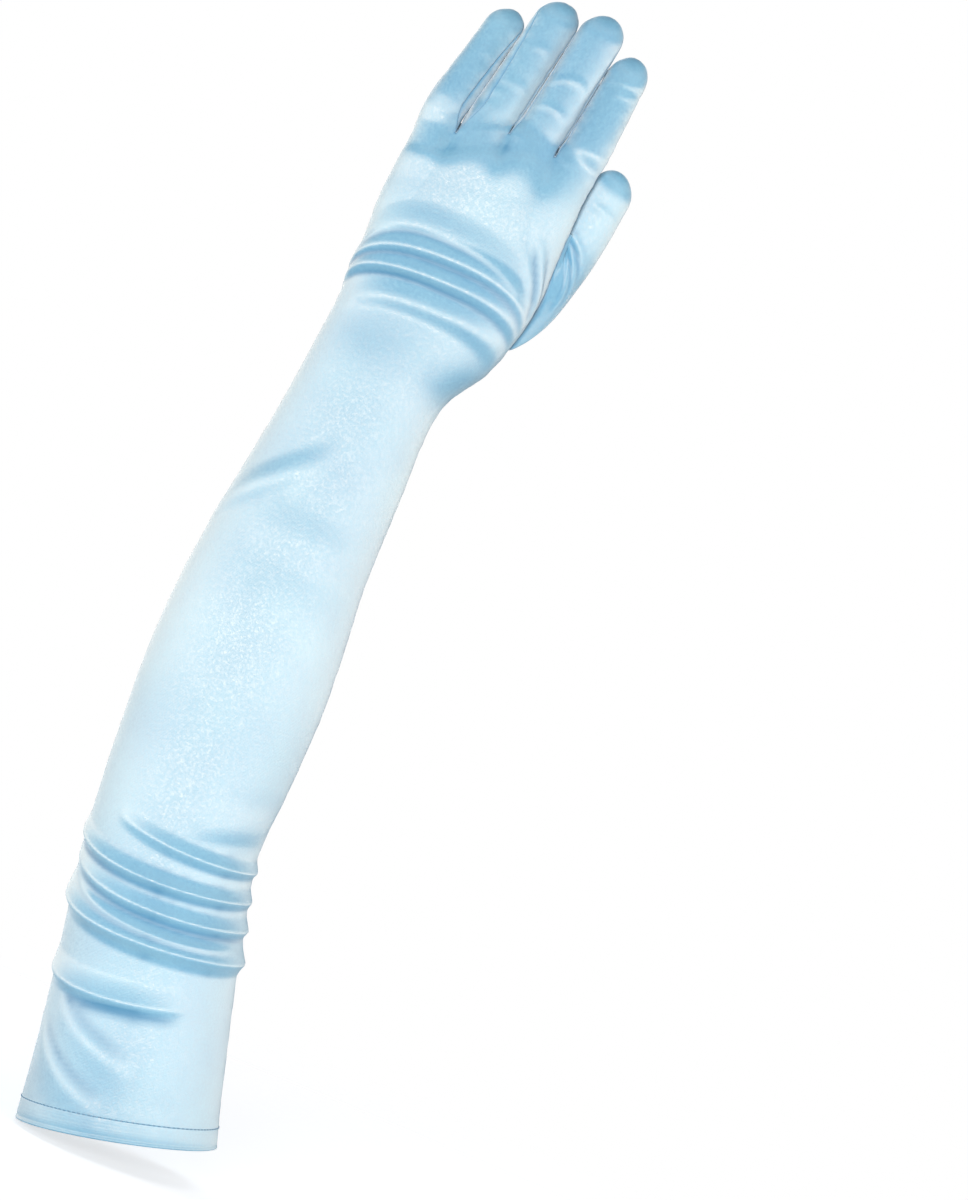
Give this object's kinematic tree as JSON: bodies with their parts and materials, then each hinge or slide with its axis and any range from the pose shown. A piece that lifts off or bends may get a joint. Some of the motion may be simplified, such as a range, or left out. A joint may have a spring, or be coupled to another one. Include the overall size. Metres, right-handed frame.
{
  "type": "long satin glove",
  "caption": "Long left-hand dress glove of pale blue satin, from above the elbow to the fingertips, open at the arm, with folds at the elbow and wrist.",
  "frame": {"origin": "middle of the arm opening at the hem, where the arm goes in", "axes": "+Z from the arm opening to the fingertips, +X to the thumb's side, -Y out of the back of the hand"},
  "size_m": [0.1236, 0.0852, 0.5442],
  "materials": {
    "back_panel": "smooth stretch satin, soft broad sheen and a fine sparkling grain",
    "palm_panel": "smooth stretch satin, soft broad sheen and a fine sparkling grain",
    "thumb": "smooth stretch satin with a gathered base",
    "fourchette_little_ring": "smooth stretch satin strip",
    "fourchette_ring_middle": "smooth stretch satin strip",
    "fourchette_middle_index": "smooth stretch satin strip",
    "hem_band": "turned double satin with one row of stitches"
  },
  "bodies": {
    "root": {"back_panel": "back_panel", "palm_panel": "palm_panel", "thumb": "thumb", "fourchette_little_ring": "fourchette_little_ring", "fourchette_ring_middle": "fourchette_ring_middle", "fourchette_middle_index": "fourchette_middle_index", "hem_band": "hem_band"}
  },
  "joints": []
}
